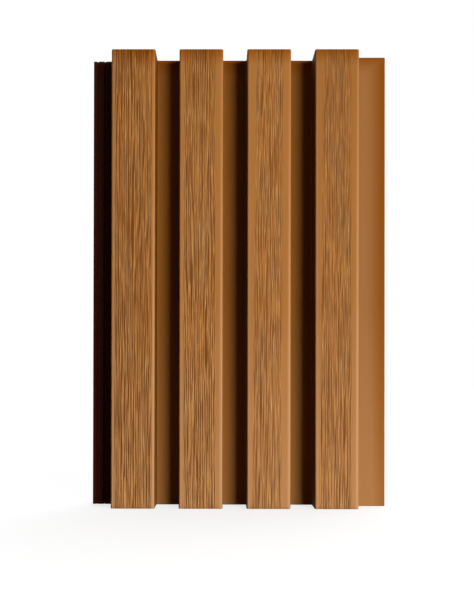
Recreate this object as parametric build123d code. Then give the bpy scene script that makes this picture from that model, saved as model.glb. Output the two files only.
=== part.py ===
from build123d import *

import os

# A short length of slatted cladding board, extruded in one piece from wood-plastic composite.
# The board stands as it is fixed on a wall: +Z runs along its length, -Y is the weather side with
# the ribs and +Y is the back that lies on the battens. The origin is at the middle of the lower end.
# Heights in the section are measured from the back plane towards the weather side.

# Length between the two square saw cuts
board_length = 335.0

# Ribs and the grooves between them
board_depth = 26.0
rib_count = 4
rib_width = 32.0
groove_width = 17.5
floor_height = 9.0
rib_edge_radius = 1.3
root_radius = 0.8

# Hollow chamber inside each rib
front_wall = 4.0
side_wall = 4.0
back_wall = 4.0
chamber_radius = 1.5

# Tongue along the left edge: it takes the screws, and two scored lines guide them
tongue_height = 7.6
tongue_tip_gap = 1.0
tongue_tip_radius = 0.7
score_offsets = (3.2, 8.6)
score_width = 1.4
score_depth = 1.0

# Lap along the right edge: it covers the next board's tongue, and its nose tucks into that board's
# first rib
lap_thickness = 5.4
lap_clearance = 0.6
nose_reach = 4.5
nose_clearance = 0.5
nose_radius = 1.0

# Shallow flutes in the back, which let the wall behind breathe
flute_count = 3
flute_width = 5.0
flute_spacing = 9.0
flute_depth = 0.9
flute_flare = 0.6

# Places worked out from the sizes above
pitch = rib_width + groove_width
tongue_reach = groove_width - tongue_tip_gap
lap_reach = groove_width + nose_reach
ribs_span = rib_count * rib_width + (rib_count - 1) * groove_width
board_width = tongue_reach + ribs_span + lap_reach
tongue_tip_x = -board_width / 2
first_rib_x = tongue_tip_x + tongue_reach
last_rib_edge_x = first_rib_x + ribs_span
nose_tip_x = board_width / 2
lap_back_height = tongue_height + lap_clearance
lap_front_height = lap_back_height + lap_thickness
pocket_depth = nose_reach + nose_clearance
pocket_top_height = lap_front_height + nose_clearance
rib_starts = [first_rib_x + i * pitch for i in range(rib_count)]

# How near a corner lies to the point that names it
same_point = 0.0001

# Largest share of a chamber's shortest wall that a corner radius takes up
corner_share = 0.45


def across(height):
    """The Y of a height above the back plane."""
    return board_depth / 2 - height


def block(x_low, x_high, low, high):
    """A rectangle of the section, from x_low to x_high and between two heights above the back."""
    width = x_high - x_low
    return Pos(x_low + width / 2, across((low + high) / 2)) * Rectangle(width, high - low)


def rounded(section, corners, radius):
    """The section with the named corners, each an X and a height, rounded to a radius."""
    chosen = [
        vertex
        for vertex in section.vertices()
        for x, height in corners
        if abs(vertex.X - x) < same_point and abs(vertex.Y - across(height)) < same_point
    ]
    return fillet(chosen, radius)


def outline():
    """The outside of the board: a base with ribs on it, the tongue, the lap and the nose pocket."""
    section = block(first_rib_x, last_rib_edge_x, 0, floor_height)
    for x in rib_starts:
        section += block(x, x + rib_width, 0, board_depth)
    section += block(tongue_tip_x, first_rib_x, 0, tongue_height)
    section += block(last_rib_edge_x, nose_tip_x, lap_back_height, lap_front_height)
    section -= block(first_rib_x, first_rib_x + pocket_depth, tongue_height, pocket_top_height)
    return section


def soften(section):
    """The small radii that the die leaves on the outside corners and in the inside ones."""
    rib_edges = [(x + side, board_depth) for x in rib_starts for side in (0, rib_width)]
    groove_roots = [(x, floor_height) for x in rib_starts[1:]]
    groove_roots += [(x + rib_width, floor_height) for x in rib_starts[:-1]]
    lap_roots = [(last_rib_edge_x, lap_front_height), (last_rib_edge_x, lap_back_height)]
    pocket_end_x = first_rib_x + pocket_depth
    pocket_roots = [(pocket_end_x, tongue_height), (pocket_end_x, pocket_top_height)]
    tongue_tip = [(tongue_tip_x, tongue_height), (tongue_tip_x, 0)]
    nose = [(nose_tip_x, lap_front_height), (nose_tip_x, lap_back_height)]
    section = rounded(section, rib_edges, rib_edge_radius)
    section = rounded(section, groove_roots + lap_roots + pocket_roots, root_radius)
    section = rounded(section, tongue_tip, tongue_tip_radius)
    return rounded(section, nose, nose_radius)


def smoothed(hollow):
    """A chamber with its corners rounded, by less where a wall of it is too short."""
    shortest = min(edge.length for edge in hollow.edges())
    return fillet(hollow.vertices(), min(chamber_radius, corner_share * shortest))


def chamber(x):
    """The hollow in the rib that starts at x."""
    return block(x + side_wall, x + rib_width - side_wall, back_wall, board_depth - front_wall)


def first_chamber():
    """The hollow in the first rib, whose wall steps round the nose pocket."""
    step_x = first_rib_x + pocket_depth + side_wall
    step_height = pocket_top_height + side_wall
    return chamber(first_rib_x) - block(first_rib_x, step_x, 0, step_height)


def score(offset):
    """One V-shaped screw line in the tongue, at an offset from its tip."""
    x, y = tongue_tip_x + offset, across(tongue_height)
    points = [(x - score_width / 2, y), (x + score_width / 2, y), (x, y + score_depth)]
    return make_face(Polyline(*points, close=True))


def flutes(x):
    """The flutes in the back of the rib that starts at x, each a little wider at its mouth."""
    middle, y = x + rib_width / 2, across(0)
    first = middle - (flute_count - 1) / 2 * flute_spacing
    cuts = Sketch()
    for i in range(flute_count):
        centre = first + i * flute_spacing
        mouth, root = flute_width / 2, flute_width / 2 - flute_flare
        points = [
            (centre - mouth, y),
            (centre - root, y - flute_depth),
            (centre + root, y - flute_depth),
            (centre + mouth, y),
        ]
        cuts += make_face(Polyline(*points, close=True))
    return cuts


def board():
    """The whole board: its section, run out to length."""
    section = soften(outline()) - smoothed(first_chamber())
    for x in rib_starts[1:]:
        section -= smoothed(chamber(x))
    for x in rib_starts:
        section -= flutes(x)
    for offset in score_offsets:
        section -= score(offset)
    return extrude(section, board_length)


os.makedirs("parts", exist_ok=True)
export_step(board(), "parts/cladding_board.step")
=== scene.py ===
import math

import bmesh
import bpy
from mathutils import Matrix, Vector, noise


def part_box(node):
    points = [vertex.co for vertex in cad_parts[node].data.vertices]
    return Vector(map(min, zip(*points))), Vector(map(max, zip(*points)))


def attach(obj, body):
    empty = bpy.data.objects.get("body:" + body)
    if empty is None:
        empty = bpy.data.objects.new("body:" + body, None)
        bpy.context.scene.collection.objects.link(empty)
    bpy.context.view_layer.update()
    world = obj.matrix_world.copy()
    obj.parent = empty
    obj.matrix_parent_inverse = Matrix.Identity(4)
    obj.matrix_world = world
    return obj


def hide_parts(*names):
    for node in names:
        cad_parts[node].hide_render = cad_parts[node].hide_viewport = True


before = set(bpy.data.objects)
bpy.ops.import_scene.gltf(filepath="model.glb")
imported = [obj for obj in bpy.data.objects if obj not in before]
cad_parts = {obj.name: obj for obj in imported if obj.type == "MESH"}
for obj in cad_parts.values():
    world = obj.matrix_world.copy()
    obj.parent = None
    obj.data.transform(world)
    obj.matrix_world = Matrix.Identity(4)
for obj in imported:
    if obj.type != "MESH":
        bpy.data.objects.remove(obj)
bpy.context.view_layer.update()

# The extruded board
# One length of wood-plastic composite, pushed through a die as a hollow section and sawn to length.
# A thin skin of tinted polyethylene leaves the die fused to the weather side. The tongue, the back
# and the chambers are bare composite. The mesh follows the CAD solid's section, corner by corner.

MM = 0.001

BOARD = "cladding_board"
SKIN, BARE, CORE = range(3)
low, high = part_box(BOARD)
front_y = low.y
length = high.z

skin_thickness = 0.6 * MM
eased_edge = 0.3 * MM

# How the parts of the CAD solid's section are told apart, and how far a corner may be drawn out
same_place = 0.001 * MM
end_turn = 0.5
face_flatness = 0.01 * MM
shortest_rib_face = 5 * MM
shortest_flat = 0.5 * MM
sharpest_corner = 0.5

# Where the skin ends: in the pocket of the first rib, on the nose of the lap, and round the back
pocket_end_x = low.x + 21.6 * MM
pocket_top_y = high.y - 14.2 * MM
lap_root_x = high.x - 22.1 * MM
skin_end_y = high.y - 10.0 * MM
flute_root_y = high.y - 1.0 * MM

# Painted highlights: the skin is drawn paler along the edges of the ribs, the right ones most, and on the
# tip of the nose.
# Below the edges it has other tones: painted shade on the sides of the ribs, down to the radius at their
# roots, and on the groove floors, and its own tone on the lap. The bare tongue is painted darker towards its
# front, as shade.
first_rib_x = low.x + 16.5 * MM
rib_pitch = 49.5 * MM
rib_middle = 16 * MM
left_painted_highlight_share = 0.4
painted_highlight_reach = 1.6 * MM
painted_highlight_round = 0.5 * MM
painted_highlight_nose = 0.7 * MM
tone_top = 0.1 * MM
tone_full = 1.1 * MM
lap_y = high.y - 13.6 * MM
lap_side = 1 * MM
floor_y = high.y - 9.0 * MM
root_radius = 0.8 * MM
tongue_back = 1.0 * MM
tongue_front = 6.0 * MM


def turn(points):
    """Each point of a closed line with the point after it."""
    return zip(points, points[1:] + points[:1])


def section_loops(node):
    """The closed outlines of a node's lower end, the longest one first and like ones from left to
    right. Each is a list of points that starts at its leftmost corner, so every run gives the same."""
    shell = bmesh.new()
    shell.from_mesh(node.data)
    bmesh.ops.remove_doubles(shell, verts=shell.verts, dist=same_place)
    rim = {
        edge
        for edge in shell.edges
        if all(abs(vert.co.z - low.z) < same_place for vert in edge.verts)
        and abs(edge.link_faces[0].normal.z - edge.link_faces[1].normal.z) > end_turn
    }
    loops = []
    while rim:
        edge = rim.pop()
        chain = [edge.verts[0], edge.verts[1]]
        while chain[-1] is not chain[0]:
            edge = next(link for link in chain[-1].link_edges if link in rim)
            rim.discard(edge)
            chain.append(edge.other_vert(chain[-1]))
        points = [vert.co.xy for vert in chain[:-1]]
        clockwise = sum(a.x * b.y - b.x * a.y for a, b in turn(points)) < 0
        points = points[::-1] if clockwise else points
        first = min(range(len(points)), key=lambda i: tuple(points[i]))
        loops.append(points[first:] + points[:first])
    shell.free()
    loops.sort(key=lambda points: points[0].x)
    return sorted(loops, key=lambda points: sum((b - a).length for a, b in turn(points)), reverse=True)


def is_rib_face(a, b):
    """True for the stretch of the outline that is the front of a rib."""
    return max(a.y, b.y) < front_y + face_flatness and (b - a).length > shortest_rib_face


def is_bare(a, b):
    """True for a stretch of the outline with no skin on it."""
    x, y = (a + b) / 2
    return y > flute_root_y or x < pocket_end_x and y > pocket_top_y or x > lap_root_x and y > skin_end_y


def smooth_step(value, start, end):
    """0 up to the start, 1 from the end on, and an even curve between them."""
    share = min(max((value - start) / (end - start), 0), 1)
    return share * share * (3 - 2 * share)


def tone_shares(x, y):
    """How much a point of the outline has of each tone off the rib faces, 0 to 1: painted highlight on the
    edges, painted shade on the rib sides, in the grooves and on the tongue, and the lap's own tone.
    """
    on_lap = x > lap_root_x - lap_side
    root_y = lap_y if on_lap else floor_y
    below = smooth_step(y - front_y, tone_top, tone_full)
    foot = below * smooth_step(y, root_y - root_radius, root_y)
    painted_highlight_share = 1 if (x - first_rib_x) % rib_pitch > rib_middle else left_painted_highlight_share
    edge = painted_highlight_share * (1 - smooth_step(y - front_y, 0, painted_highlight_round))
    return {
        "edge": max(edge, smooth_step(x, high.x - painted_highlight_nose, high.x)),
        "rib_side_shade": below - foot,
        "groove": 0 if on_lap else foot,
        "lap": foot if on_lap else 0,
        "tongue": smooth_step(high.y - y, tongue_back, tongue_front) if x < pocket_end_x else 0,
    }


def wall(mesh, here, there, smooth, material):
    """The face between two upright columns of vertices, each listed from the bottom up."""
    face = mesh.faces.new([here[0], *there, *here[:0:-1]])
    face.smooth = smooth
    face.material_index = material


def inset(points, distance):
    """Points of a closed line, moved sideways into the material by a distance."""
    moved = []
    for i, point in enumerate(points):
        before = (point - points[i - 1]).normalized()
        after = (points[(i + 1) % len(points)] - point).normalized()
        along = (before + after).normalized()
        inwards = Vector((-along.y, along.x))
        cosine = max(along.dot(after), sharpest_corner)
        moved.append(point + inwards * distance / cosine)
    return moved


# The wood grain on the ribs
# A heated roller presses fine straight grain into the four rib faces as the board leaves the die.
# It runs a little off centre, so each rib has its own plain margins, and the grooves, the tongue
# and the lap stay smooth. Its lines are long and about 1.5 mm apart, and they lean a little.

column_spacing = 0.18 * MM
row_spacing = 3 * MM
rib_margin = 0.25 * MM

emboss_depth = 0.16 * MM
line_spacing = 1.45 * MM
drift_reach = 1.3 * MM
drift_width = 2.5 * MM
drift_length = 60 * MM
fine_width = 0.45 * MM
fine_length = 20 * MM
broad_width = 0.8 * MM
broad_length = 50 * MM
lean_reach = 0.9 * MM
lean_width = 12 * MM
lean_length = 75 * MM
patch_width = 8 * MM
patch_length = 50 * MM

# How much each kind of line adds to the pattern, between which levels it is pressed in, and how much
# the patches change it
line_share = 0.45
fine_share = 0.8
broad_share = 0.25
pressed_from = -0.25
pressed_full = 0.55
patch_share = 0.3

# Each rib takes its own page of the noise, and each kind of line its own place on the page
rib_page = 31.7
drift_page = 2.7
fine_page = 5.3
broad_page = 9.1
patch_page = 14.9

# Where the grain starts and ends across each rib, as shares of its width, how hard it bites, and how
# much more or less of the dark pigment stays between its lines, at the lower and the upper end
bands_below = [
    (0.0, 1.0, 1.4, -0.1),
    (0.02, 0.90, 1.5, -0.3),
    (0.05, 0.84, 0.95, -0.1),
    (0.03, 0.90, 1.02, -0.08),
]
bands_above = [
    (0.0, 1.0, 1.0, 0.0),
    (0.04, 0.88, 0.9, -0.03),
    (0.14, 0.88, 0.68, 0.0),
    (0.12, 0.88, 0.38, 0.2),
]
band_fade = 0.08


def mix(a, b, share):
    """The value a share of the way from a to b."""
    return a + (b - a) * share


def grain_share(across, up, width, rib):
    """How much a place on a rib's face is grained, from 0 on its plain margins to 1, how hard the
    roller bites there, and how much more dark pigment it holds."""
    band = zip(bands_below[rib], bands_above[rib])
    start, end, bite, soak = (mix(a, b, up / length) for a, b in band)
    share = across / width
    inside = smooth_step(share, start, start + band_fade) * (1 - smooth_step(share, end - band_fade, end))
    return inside, inside * bite, soak


def grain_depth(across, up, rib):
    """How deep the roller's lines are at a place on a rib's face, from 0 to 1."""
    page = rib_page * rib
    lean = lean_reach * noise.noise((across / lean_width, up / lean_length, page))
    drift = drift_reach * noise.noise((across / drift_width, up / drift_length, page + drift_page))
    line = math.cos(math.tau * (across + lean + drift) / line_spacing)
    fine = noise.noise(((across + lean) / fine_width, up / fine_length, page + fine_page))
    broad = noise.noise(((across + lean) / broad_width, up / broad_length, page + broad_page))
    patch = noise.noise((across / patch_width, up / patch_length, page + patch_page))
    pattern = line_share * line + fine_share * fine + broad_share * broad
    pressed = smooth_step(pattern, pressed_from, pressed_full)
    return min(pressed * (1 + patch_share * patch), 1)


def rib_columns(mesh, a, b, rib):
    """Upright columns of vertices across a rib's face from a to b, with the grain pressed in. The
    relief runs out at the two ends, so that the eased edge of each cut stays a straight line."""
    grain = mesh.verts.layers.float["grain"]
    grained = mesh.verts.layers.float["grained"]
    edge = mesh.verts.layers.float["edge"]
    width = (b - a).length
    direction = (b - a) / width
    steps = round((width - 2 * rib_margin) / column_spacing)
    rows = round((length - 2 * eased_edge) / row_spacing)
    columns = []
    for i in range(steps + 1):
        across = mix(rib_margin, width - rib_margin, i / steps)
        x, y = a + direction * across
        # The painted highlight along the rib's two edges, stronger on the right one
        left_edge = left_painted_highlight_share * (1 - smooth_step(across, 0, painted_highlight_reach))
        right_edge = 1 - smooth_step(width - across, 0, painted_highlight_reach)
        column = []
        for j in range(rows + 1):
            z = mix(eased_edge, length - eased_edge, j / rows)
            share, bite, soak = grain_share(across, z, width, rib)
            depth = bite * grain_depth(across, z, rib) if 0 < i < steps else 0
            relief = emboss_depth if 0 < j < rows else 0
            vert = mesh.verts.new((x, y + depth * relief, z))
            vert[grain] = depth + soak
            vert[grained] = share
            vert[edge] = max(left_edge, right_edge)
            column.append(vert)
        columns.append(column)
    return columns


# The walls and the sawn ends of the board
# The walls run up from the corners of the section, and a saw has cut both ends square. Each cut has
# a slightly eased edge, and shows the rim of the skin and the core between the chambers.


def outside(mesh, outline):
    """The outside of the board. Returns its columns of vertices, in order round the outline, and
    the finish of the wall that starts at each."""
    ends = (eased_edge, length - eased_edge)
    rib_starts = sorted(min(a.x, b.x) for a, b in turn(outline) if is_rib_face(a, b))
    columns, kinds, finishes = [], [], []
    for a, b in turn(outline):
        corner = [mesh.verts.new((a.x, a.y, z)) for z in ends]
        for name, share in tone_shares(a.x, a.y).items():
            for vert in corner:
                vert[mesh.verts.layers.float[name]] = share
        columns.append(corner)
        if is_rib_face(a, b):
            pressed = rib_columns(mesh, a, b, rib_starts.index(min(a.x, b.x)))
            columns += pressed
            kinds += ["margin"] + ["grain"] * (len(pressed) - 1) + ["margin"]
            finishes += [SKIN] * (len(pressed) + 1)
        else:
            kinds.append("flat" if (b - a).length > shortest_flat else "round")
            finishes.append(BARE if is_bare(a, b) else SKIN)
    for kind, finish, (here, there) in zip(kinds, finishes, turn(columns)):
        if kind == "grain":
            for j in range(len(here) - 1):
                wall(mesh, here[j:j + 2], there[j:j + 2], True, finish)
        else:
            wall(mesh, here, there, kind == "round", finish)
    return columns, finishes


def chamber(mesh, outline):
    """The bare walls of one chamber. Returns its columns of vertices."""
    columns = [[mesh.verts.new((p.x, p.y, z)) for z in (0, length)] for p in outline]
    for (a, b), (here, there) in zip(turn(outline), turn(columns)):
        wall(mesh, there, here, (b - a).length < shortest_flat, BARE)
    return columns


def sawn_end(mesh, columns, finishes, chambers, end, z):
    """One sawn end: an eased edge, the cut rim of the skin, and the core between the chambers."""
    rings = [[column[end] for column in columns]]
    outline = [vert.co.xy for vert in rings[0]]
    for depth in (eased_edge, skin_thickness):
        rings.append([mesh.verts.new((p.x, p.y, z)) for p in inset(outline, depth)])
    for outer, inner in zip(rings, rings[1:]):
        for (a, b), (c, d), finish in zip(turn(outer), turn(inner), finishes):
            mesh.faces.new([a, b, d, c]).material_index = SKIN if finish == SKIN else CORE
    edges = [mesh.edges.get(pair) for pair in turn(rings[-1])]
    for chamber_columns in chambers:
        edges += [mesh.edges.get(pair) for pair in turn([column[end] for column in chamber_columns])]
    filled = bmesh.ops.triangle_fill(mesh, use_beauty=True, edges=edges)
    for face in filled["geom"]:
        if isinstance(face, bmesh.types.BMFace):
            face.material_index = CORE


def board_mesh(node):
    """The whole board: skin, chambers and the two sawn ends."""
    outline, *hollows = section_loops(node)
    mesh = bmesh.new()
    # The edge, rib side, groove and tongue layers carry painted highlight and painted shade; grain, grained
    # and lap are the skin's own tones
    for name in ("grain", "grained", "edge", "rib_side_shade", "groove", "lap", "tongue"):
        mesh.verts.layers.float.new(name)
    columns, finishes = outside(mesh, outline)
    chambers = [chamber(mesh, hollow) for hollow in hollows]
    sawn_end(mesh, columns, finishes, chambers, 0, 0)
    sawn_end(mesh, columns, finishes, chambers, -1, length)
    bmesh.ops.recalc_face_normals(mesh, faces=mesh.faces)
    data = bpy.data.meshes.new("extruded_board")
    mesh.to_mesh(data)
    mesh.free()
    return data


board = bpy.data.objects.new("extruded_board", board_mesh(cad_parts[BOARD]))
bpy.context.scene.collection.objects.link(board)


# The three finishes of the board
# The skin on the weather side is tinted polyethylene. The tongue, the back and the chambers are the
# bare wood-plastic composite, and the saw leaves that composite matt at the two ends. The tone
# reaches below are matched to the photograph.

lit_end_reach = 150 * MM
warm_nose = 16 * MM
warm_cut = 12 * MM


def linear(code):
    """An sRGB hex colour as linear values with full alpha."""
    parts = [int(code[i:i + 2], 16) / 255 for i in (1, 3, 5)]
    return (*[p / 12.92 if p <= 0.04045 else ((p + 0.055) / 1.055) ** 2.4 for p in parts], 1)


def add(tree, kind, inputs=(), output=0, **settings):
    """Adds a node with its settings and with its inputs set or linked. Returns one output of it."""
    node = tree.nodes.new(kind)
    for name, value in settings.items():
        setattr(node, name, value)
    for name, value in dict(inputs).items():
        if isinstance(value, bpy.types.NodeSocket):
            tree.links.new(value, node.inputs[name])
        else:
            node.inputs[name].default_value = value
    return node.outputs[output] if len(node.outputs) else None


def new_material(name):
    """An empty material. Returns its node tree and the material itself."""
    made = bpy.data.materials.new(name)
    made.use_nodes = True
    made.node_tree.nodes.clear()
    return made.node_tree, made


def streaks(tree, place, spacing, run, detail=1):
    """Noise drawn out along the board: streaks a spacing apart and a run long."""
    drawn = add(tree, "ShaderNodeMapping", {0: place, "Scale": (1, 1, spacing / run)})
    return add(tree, "ShaderNodeTexNoise", {0: drawn, "Scale": 1 / spacing, "Detail": detail})


def coextruded_skin():
    """Polyethylene skin, tinted and coextruded: satin and smooth, with faint die lines. On the ribs
    the pressed lines hold darker pigment, and between them the skin is streaked light and dark. It also
    carries painted
    light: shade in the grooves and on the rib sides, highlights along the rib edges, a paler lower end and a
    warm band under the upper cut and on the nose."""
    tree, made = new_material("coextruded_skin")
    place = add(tree, "ShaderNodeTexCoord", output="Object")
    grain = add(tree, "ShaderNodeAttribute", output="Fac", attribute_name="grain")
    grained = add(tree, "ShaderNodeAttribute", output="Fac", attribute_name="grained")
    edge = add(tree, "ShaderNodeAttribute", output="Fac", attribute_name="edge")
    rib_side_shade = add(tree, "ShaderNodeAttribute", output="Fac", attribute_name="rib_side_shade")
    groove = add(tree, "ShaderNodeAttribute", output="Fac", attribute_name="groove")
    lap = add(tree, "ShaderNodeAttribute", output="Fac", attribute_name="lap")
    axes = add(tree, "ShaderNodeSeparateXYZ", {0: place}).node.outputs

    # Slow drift of tone, in clouds 20 mm wide and 60 mm long, and greyer on the lap. Painted light: paler
    # towards the lower
    #     end, as if it were more brightly lit
    cloud = streaks(tree, place, 20 * MM, 60 * MM, 2)
    tone = add(
        tree, "ShaderNodeMix", {"Factor": cloud, "A": linear("#ab6f34"), "B": linear("#b4783e")},
        "Result", data_type="RGBA",
    )
    lower_end_light = add(tree, "ShaderNodeMapRange", {0: axes["Z"], 1: 0.0, 2: lit_end_reach, 3: 0.75, 4: 0.0})
    tone = add(
        tree, "ShaderNodeMix", {"Factor": lower_end_light, "A": tone, "B": linear("#c48c5a")},
        "Result", data_type="RGBA",
    )
    lap_tone = add(
        tree, "ShaderNodeMix", {"Factor": lower_end_light, "A": linear("#9f6a3c"), "B": linear("#b07a48")},
        "Result", data_type="RGBA",
    )
    lap = add(tree, "ShaderNodeMath", {0: lap, 1: 0.85}, operation="MULTIPLY")
    tone = add(
        tree, "ShaderNodeMix", {"Factor": lap, "A": tone, "B": lap_tone},
        "Result", data_type="RGBA",
    )

    # Greyer patches on the ribs, 5 mm wide and 40 mm long, where the pigment mixed unevenly
    patches = streaks(tree, place, 5 * MM, 40 * MM)
    grey = add(tree, "ShaderNodeMapRange", {0: patches, 1: 0.48, 2: 0.62, 3: 0.0, 4: 0.45})
    grey = add(tree, "ShaderNodeMath", {0: grey, 1: grained}, operation="MULTIPLY")
    tone = add(
        tree, "ShaderNodeMix", {"Factor": grey, "A": tone, "B": linear("#94714a")},
        "Result", data_type="RGBA",
    )

    # Pigment streaks on the ribs. Real ones are down to 0.2 mm wide, and these are drawn 0.45 and
    # 0.65 mm wide so that they show.
    narrow = streaks(tree, place, 0.45 * MM, 14 * MM)
    broad = streaks(tree, place, 0.65 * MM, 40 * MM)
    light = add(tree, "ShaderNodeMapRange", {0: narrow, 1: 0.5, 2: 0.66, 3: 0.0, 4: 0.8})
    dark = add(tree, "ShaderNodeMapRange", {0: broad, 1: 0.52, 2: 0.7, 3: 0.08, 4: 0.45})
    light = add(tree, "ShaderNodeMath", {0: light, 1: grained}, operation="MULTIPLY")
    dark = add(tree, "ShaderNodeMath", {0: dark, 1: grained}, operation="MULTIPLY")
    tone = add(
        tree, "ShaderNodeMix", {"Factor": light, "A": tone, "B": linear("#dca05a")},
        "Result", data_type="RGBA",
    )
    dark = add(tree, "ShaderNodeMath", {0: dark, 1: grain}, operation="ADD", use_clamp=True)
    dark = add(tree, "ShaderNodeMath", {0: dark, 1: 0.85}, operation="MULTIPLY")
    tone = add(
        tree, "ShaderNodeMix", {"Factor": dark, "A": tone, "B": linear("#6a370f")},
        "Result", data_type="RGBA",
    )

    # The tones off the rib faces, matched to the photograph: painted shade, deeper in the grooves and darker
    # still on the sides of the ribs, and painted highlights, paler along the edges and more so towards the
    # lower end
    tone = add(
        tree, "ShaderNodeMix", {"Factor": groove, "A": tone, "B": linear("#eae2bb")},
        "Result", data_type="RGBA", blend_type="MULTIPLY",
    )
    tone = add(
        tree, "ShaderNodeMix", {"Factor": rib_side_shade, "A": tone, "B": linear("#958662")},
        "Result", data_type="RGBA", blend_type="MULTIPLY",
    )
    highlight_by_height = add(tree, "ShaderNodeMapRange", {0: axes["Z"], 1: 0.0, 2: high.z, 3: 0.75, 4: 0.05})
    painted_highlight = add(tree, "ShaderNodeMath", {0: edge, 1: highlight_by_height}, operation="MULTIPLY")
    tone = add(
        tree, "ShaderNodeMix", {"Factor": painted_highlight, "A": tone, "B": linear("#d7a374")},
        "Result", data_type="RGBA",
    )

    # Painted shading, matched to the photograph: a warmer, more saturated tone where the sheen fades, in the
    # last 12 mm below
    #     the upper cut and towards the nose of the lap, though less so at the lighter lower end and on the
    #     nose's highlighted tip
    nose = add(
        tree, "ShaderNodeMapRange", {0: axes["X"], 1: high.x - warm_nose, 2: high.x, 3: 0.0, 4: 1.0},
        interpolation_type="SMOOTHSTEP",
    )
    nose = add(
        tree, "ShaderNodeMath", {0: lower_end_light, 1: -0.6, 2: nose}, operation="MULTIPLY_ADD", use_clamp=True
    )
    nose = add(
        tree, "ShaderNodeMath", {0: edge, 1: -0.6, 2: nose}, operation="MULTIPLY_ADD", use_clamp=True
    )
    cut = add(tree, "ShaderNodeMapRange", {0: axes["Z"], 1: high.z - warm_cut, 2: high.z, 3: 0.0, 4: 1.0})
    warm = add(tree, "ShaderNodeMath", {0: nose, 1: cut}, operation="MAXIMUM")
    tone = add(
        tree, "ShaderNodeMix", {"Factor": warm, "A": tone, "B": linear("#e0b830")},
        "Result", data_type="RGBA", blend_type="MULTIPLY",
    )

    # Die lines 1.2 mm apart run the whole length
    die_lines = streaks(tree, place, 1.2 * MM, 600 * MM, 2)
    relief = add(tree, "ShaderNodeBump", {"Height": die_lines, "Distance": 0.02 * MM, "Strength": 0.5})
    sheen = add(tree, "ShaderNodeMapRange", {0: cloud, 1: 0.3, 2: 0.7, 3: 0.52, 4: 0.64})
    shader = add(
        tree,
        "ShaderNodeBsdfPrincipled",
        {"Base Color": tone, "Roughness": sheen, "IOR": 1.5, "Specular IOR Level": 0.05, "Normal": relief},
    )
    add(tree, "ShaderNodeOutputMaterial", {"Surface": shader})
    return made


def bare_composite():
    """Composite as the die left it: duller than the skin and streaked along by wood fibres. On the
    front of the tongue it is painted nearly black, as the shade of the first rib, matched to the photograph."""
    tree, made = new_material("bare_composite")
    place = add(tree, "ShaderNodeTexCoord", output="Object")
    fibres = streaks(tree, place, 0.5 * MM, 9 * MM, 2)
    drift = streaks(tree, place, 6 * MM, 40 * MM, 2)
    tone = add(
        tree, "ShaderNodeMix", {"Factor": drift, "A": linear("#633d1f"), "B": linear("#754c2a")},
        "Result", data_type="RGBA",
    )
    drag = streaks(tree, place, 1.6 * MM, 150 * MM)
    drag = add(tree, "ShaderNodeMapRange", {0: drag, 1: 0.45, 2: 0.7, 3: 0.0, 4: 0.5})
    tone = add(
        tree, "ShaderNodeMix", {"Factor": drag, "A": tone, "B": linear("#4b2b13")},
        "Result", data_type="RGBA",
    )
    pale = add(tree, "ShaderNodeMapRange", {0: fibres, 1: 0.5, 2: 0.8, 3: 0.0, 4: 0.5})
    tone = add(
        tree, "ShaderNodeMix", {"Factor": pale, "A": tone, "B": linear("#9a6c42")},
        "Result", data_type="RGBA",
    )
    # Painted shade: the front of the tongue darkened, where the first rib shades it
    tongue = add(tree, "ShaderNodeAttribute", output="Fac", attribute_name="tongue")
    tone = add(
        tree, "ShaderNodeMix", {"Factor": tongue, "A": tone, "B": linear("#9e7073")},
        "Result", data_type="RGBA", blend_type="MULTIPLY",
    )
    relief = add(tree, "ShaderNodeBump", {"Height": fibres, "Distance": 0.05 * MM, "Strength": 0.6})
    shader = add(
        tree,
        "ShaderNodeBsdfPrincipled",
        {"Base Color": tone, "Roughness": 0.7, "IOR": 1.5, "Specular IOR Level": 0.05, "Normal": relief},
    )
    add(tree, "ShaderNodeOutputMaterial", {"Surface": shader})
    return made


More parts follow.
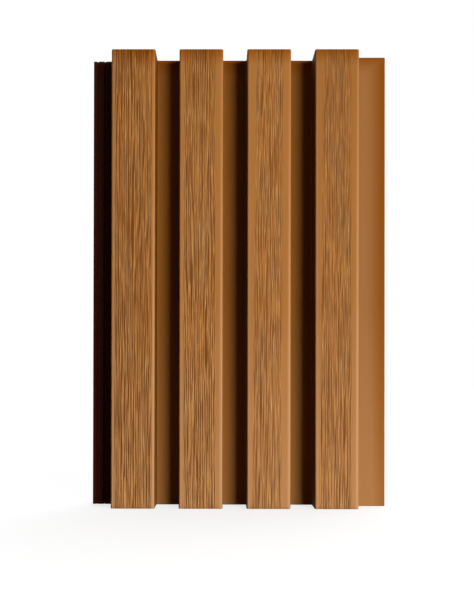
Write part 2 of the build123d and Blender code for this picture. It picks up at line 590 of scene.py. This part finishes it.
def sawn_composite():
    """Composite where a circular saw cut it: matt brown, flecked by cut wood fibres, with the
    shallow arcs of the blade across it."""
    tree, made = new_material("sawn_composite")
    place = add(tree, "ShaderNodeTexCoord", output="Object")
    drift = add(tree, "ShaderNodeTexNoise", {0: place, "Scale": 1 / (5 * MM), "Detail": 3})
    flecks = add(tree, "ShaderNodeTexNoise", {0: place, "Scale": 1 / (0.45 * MM), "Detail": 2})
    tone = add(
        tree, "ShaderNodeMix", {"Factor": drift, "A": linear("#6f4526"), "B": linear("#825535")},
        "Result", data_type="RGBA",
    )
    pale = add(tree, "ShaderNodeMapRange", {0: flecks, 1: 0.54, 2: 0.7, 3: 0.0, 4: 0.75})
    tone = add(
        tree, "ShaderNodeMix", {"Factor": pale, "A": tone, "B": linear("#b48a60")},
        "Result", data_type="RGBA",
    )

    # Arcs of a 250 mm blade that came from the back, one every 1.4 mm
    blade_middle = (-30 * MM, 125 * MM, 0)
    arc_spacing = 1.4 * MM
    axes = add(tree, "ShaderNodeMapping", {0: place, "Scale": (1, 1, 0)})
    reach = add(tree, "ShaderNodeVectorMath", {0: axes, 1: blade_middle}, "Value", operation="DISTANCE")
    turns = add(tree, "ShaderNodeMath", {0: reach, 1: math.tau / arc_spacing}, operation="MULTIPLY")
    arcs = add(tree, "ShaderNodeMath", {0: turns}, operation="SINE")
    arcs = add(tree, "ShaderNodeMapRange", {0: arcs, 1: -1.0, 2: 1.0, 3: 0.0, 4: 1.0})
    shade = add(tree, "ShaderNodeMapRange", {0: arcs, 1: 0.0, 2: 1.0, 3: 0.0, 4: 0.3})
    tone = add(
        tree, "ShaderNodeMix", {"Factor": shade, "A": tone, "B": linear("#5a361c")},
        "Result", data_type="RGBA",
    )
    rough = add(tree, "ShaderNodeBump", {"Height": arcs, "Distance": 0.06 * MM, "Strength": 0.7})
    fuzzy = add(
        tree, "ShaderNodeBump", {"Height": flecks, "Distance": 0.08 * MM, "Strength": 0.6, "Normal": rough}
    )
    shader = add(
        tree,
        "ShaderNodeBsdfPrincipled",
        {"Base Color": tone, "Roughness": 0.85, "IOR": 1.5, "Specular IOR Level": 0.05, "Normal": fuzzy},
    )
    add(tree, "ShaderNodeOutputMaterial", {"Surface": shader})
    return made


for finish in (coextruded_skin(), bare_composite(), sawn_composite()):
    board.data.materials.append(finish)
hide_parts(BOARD)
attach(board, "root")

# The floor
# Plain pale studio floor, lit up so that it meets the white background with no line between them.
# It glows a little less near the board, where the softbox adds to it. It keeps the board's soft
# shadow, and it throws little light back, so that the grooves stay dark.

floor_half = 12.0
near_reach, near_glow = 0.5, 0.775
far_reach, far_glow = 2.5, 0.82
floor_grey = (0.3, 0.3, 0.3, 1)
bounce_grey = (0.03, 0.03, 0.03, 1)
floor_mesh = bpy.data.meshes.new("studio_floor")
corners = [(-1, -1), (1, -1), (1, 1), (-1, 1)]
floor_mesh.from_pydata([(x * floor_half, y * floor_half, 0) for x, y in corners], [], [(0, 1, 2, 3)])
floor = bpy.data.objects.new("studio_floor", floor_mesh)
bpy.context.scene.collection.objects.link(floor)


def seen_directly(tree):
    """1 for rays from the camera, from gloss and through glass, and 0 for diffuse light."""
    path = add(tree, "ShaderNodeLightPath").node.outputs
    inputs = {0: path["Is Camera Ray"], 1: path["Is Glossy Ray"]}
    either = add(tree, "ShaderNodeMath", inputs, operation="MAXIMUM")
    return add(tree, "ShaderNodeMath", {0: either, 1: path["Is Transmission Ray"]}, operation="MAXIMUM")


def pale_floor():
    """Matt grey paper with a soft glow that only direct rays see."""
    tree, made = new_material("pale_floor")
    direct = seen_directly(tree)
    grey = add(
        tree, "ShaderNodeMix", {"Factor": direct, "A": bounce_grey, "B": floor_grey},
        "Result", data_type="RGBA",
    )
    matt = add(tree, "ShaderNodeBsdfDiffuse", {"Color": grey})
    place = add(tree, "ShaderNodeTexCoord", output="Object")
    reach = add(tree, "ShaderNodeVectorMath", {0: place}, "Value", operation="LENGTH")
    glow = {0: reach, 1: near_reach, 2: far_reach, 3: near_glow, 4: far_glow}
    glow = add(tree, "ShaderNodeMapRange", glow)
    strength = add(tree, "ShaderNodeMath", {0: direct, 1: glow}, operation="MULTIPLY")
    glow = add(tree, "ShaderNodeEmission", {"Color": (1, 1, 1, 1), "Strength": strength})
    both = add(tree, "ShaderNodeAddShader", {0: matt, 1: glow})
    add(tree, "ShaderNodeOutputMaterial", {"Surface": both})
    return made


floor_mesh.materials.append(pale_floor())

# The light
# One large softbox stands to the right, aimed below the foot of the board and past it, so that the
# lower end is a little brighter and each rib throws a soft shadow into the groove on its left. The
# room is bright behind the board, more so to the right, and dim in front of it.

key = bpy.data.lights.new("softbox", "AREA")
key.shape = "RECTANGLE"
key.size = 1.7
key.size_y = 1.1
key.energy = 46
key.spread = math.radians(125)
key_azimuth = math.radians(43)
key_distance = 2.2
key_height = 0.3
key_place = Vector((math.sin(key_azimuth) * key_distance, -math.cos(key_azimuth) * key_distance, key_height))
key_target = Vector((-0.4, 0, -0.6))
key_lamp = bpy.data.objects.new("softbox", key)
key_lamp.location = key_place
key_lamp.rotation_euler = (key_place - key_target).to_track_quat("Z", "Y").to_euler()
key_lamp.visible_camera = False
bpy.context.scene.collection.objects.link(key_lamp)

dim_front = 0.01
bright_back = 2.4
front_end, back_start = -0.05, 0.3
dim_left = 0.4
left_end, right_start = -0.5, 0.5
world = bpy.data.worlds.new("studio")
world.use_nodes = True
sky = world.node_tree
sky.nodes.clear()
bpy.context.scene.world = world
towards = add(sky, "ShaderNodeTexCoord", output="Generated")
towards = add(sky, "ShaderNodeSeparateXYZ", {0: towards}).node.outputs
ramp = {0: towards["Y"], 1: front_end, 2: back_start, 3: dim_front, 4: bright_back}
room = add(sky, "ShaderNodeMapRange", ramp)
ramp = {0: towards["X"], 1: left_end, 2: right_start, 3: dim_left, 4: 1.0}
side = add(sky, "ShaderNodeMapRange", ramp)
room = add(sky, "ShaderNodeMath", {0: room, 1: side}, operation="MULTIPLY")
strength = add(sky, "ShaderNodeMix", {"Factor": seen_directly(sky), "A": room, "B": 1.0}, "Result")
shine = add(sky, "ShaderNodeBackground", {"Color": (1, 1, 1, 1), "Strength": strength})
add(sky, "ShaderNodeOutputWorld", {"Surface": shine})

# The camera
# It stands in front of the board, a little to its left and low, and looks level. Its shift lifts
# the frame, as in the photograph, where the board's upright edges stay parallel.

frame_width, frame_height = 474, 605
camera_place = (-13.1 * MM, -488.2 * MM, 91.7 * MM)
focal_pixels = 653.4
axis_x, axis_y = 218.2, 380.0
pitch = math.radians(0.246)
roll = math.radians(0.104)
yaw = math.radians(0.205)
lens = bpy.data.cameras.new("camera")
lens.sensor_width = 36
lens.lens = lens.sensor_width * focal_pixels / frame_height
lens.shift_x = (frame_width / 2 - axis_x) / frame_height
lens.shift_y = (axis_y - frame_height / 2) / frame_height
camera = bpy.data.objects.new("camera", lens)
camera.matrix_world = (
    Matrix.Translation(camera_place)
    @ Matrix.Rotation(yaw, 4, "Z")
    @ Matrix.Rotation(math.radians(90) + pitch, 4, "X")
    @ Matrix.Rotation(roll, 4, "Z")
)
bpy.context.scene.collection.objects.link(camera)
bpy.context.scene.camera = camera
bpy.context.scene.view_settings.view_transform = "Standard"
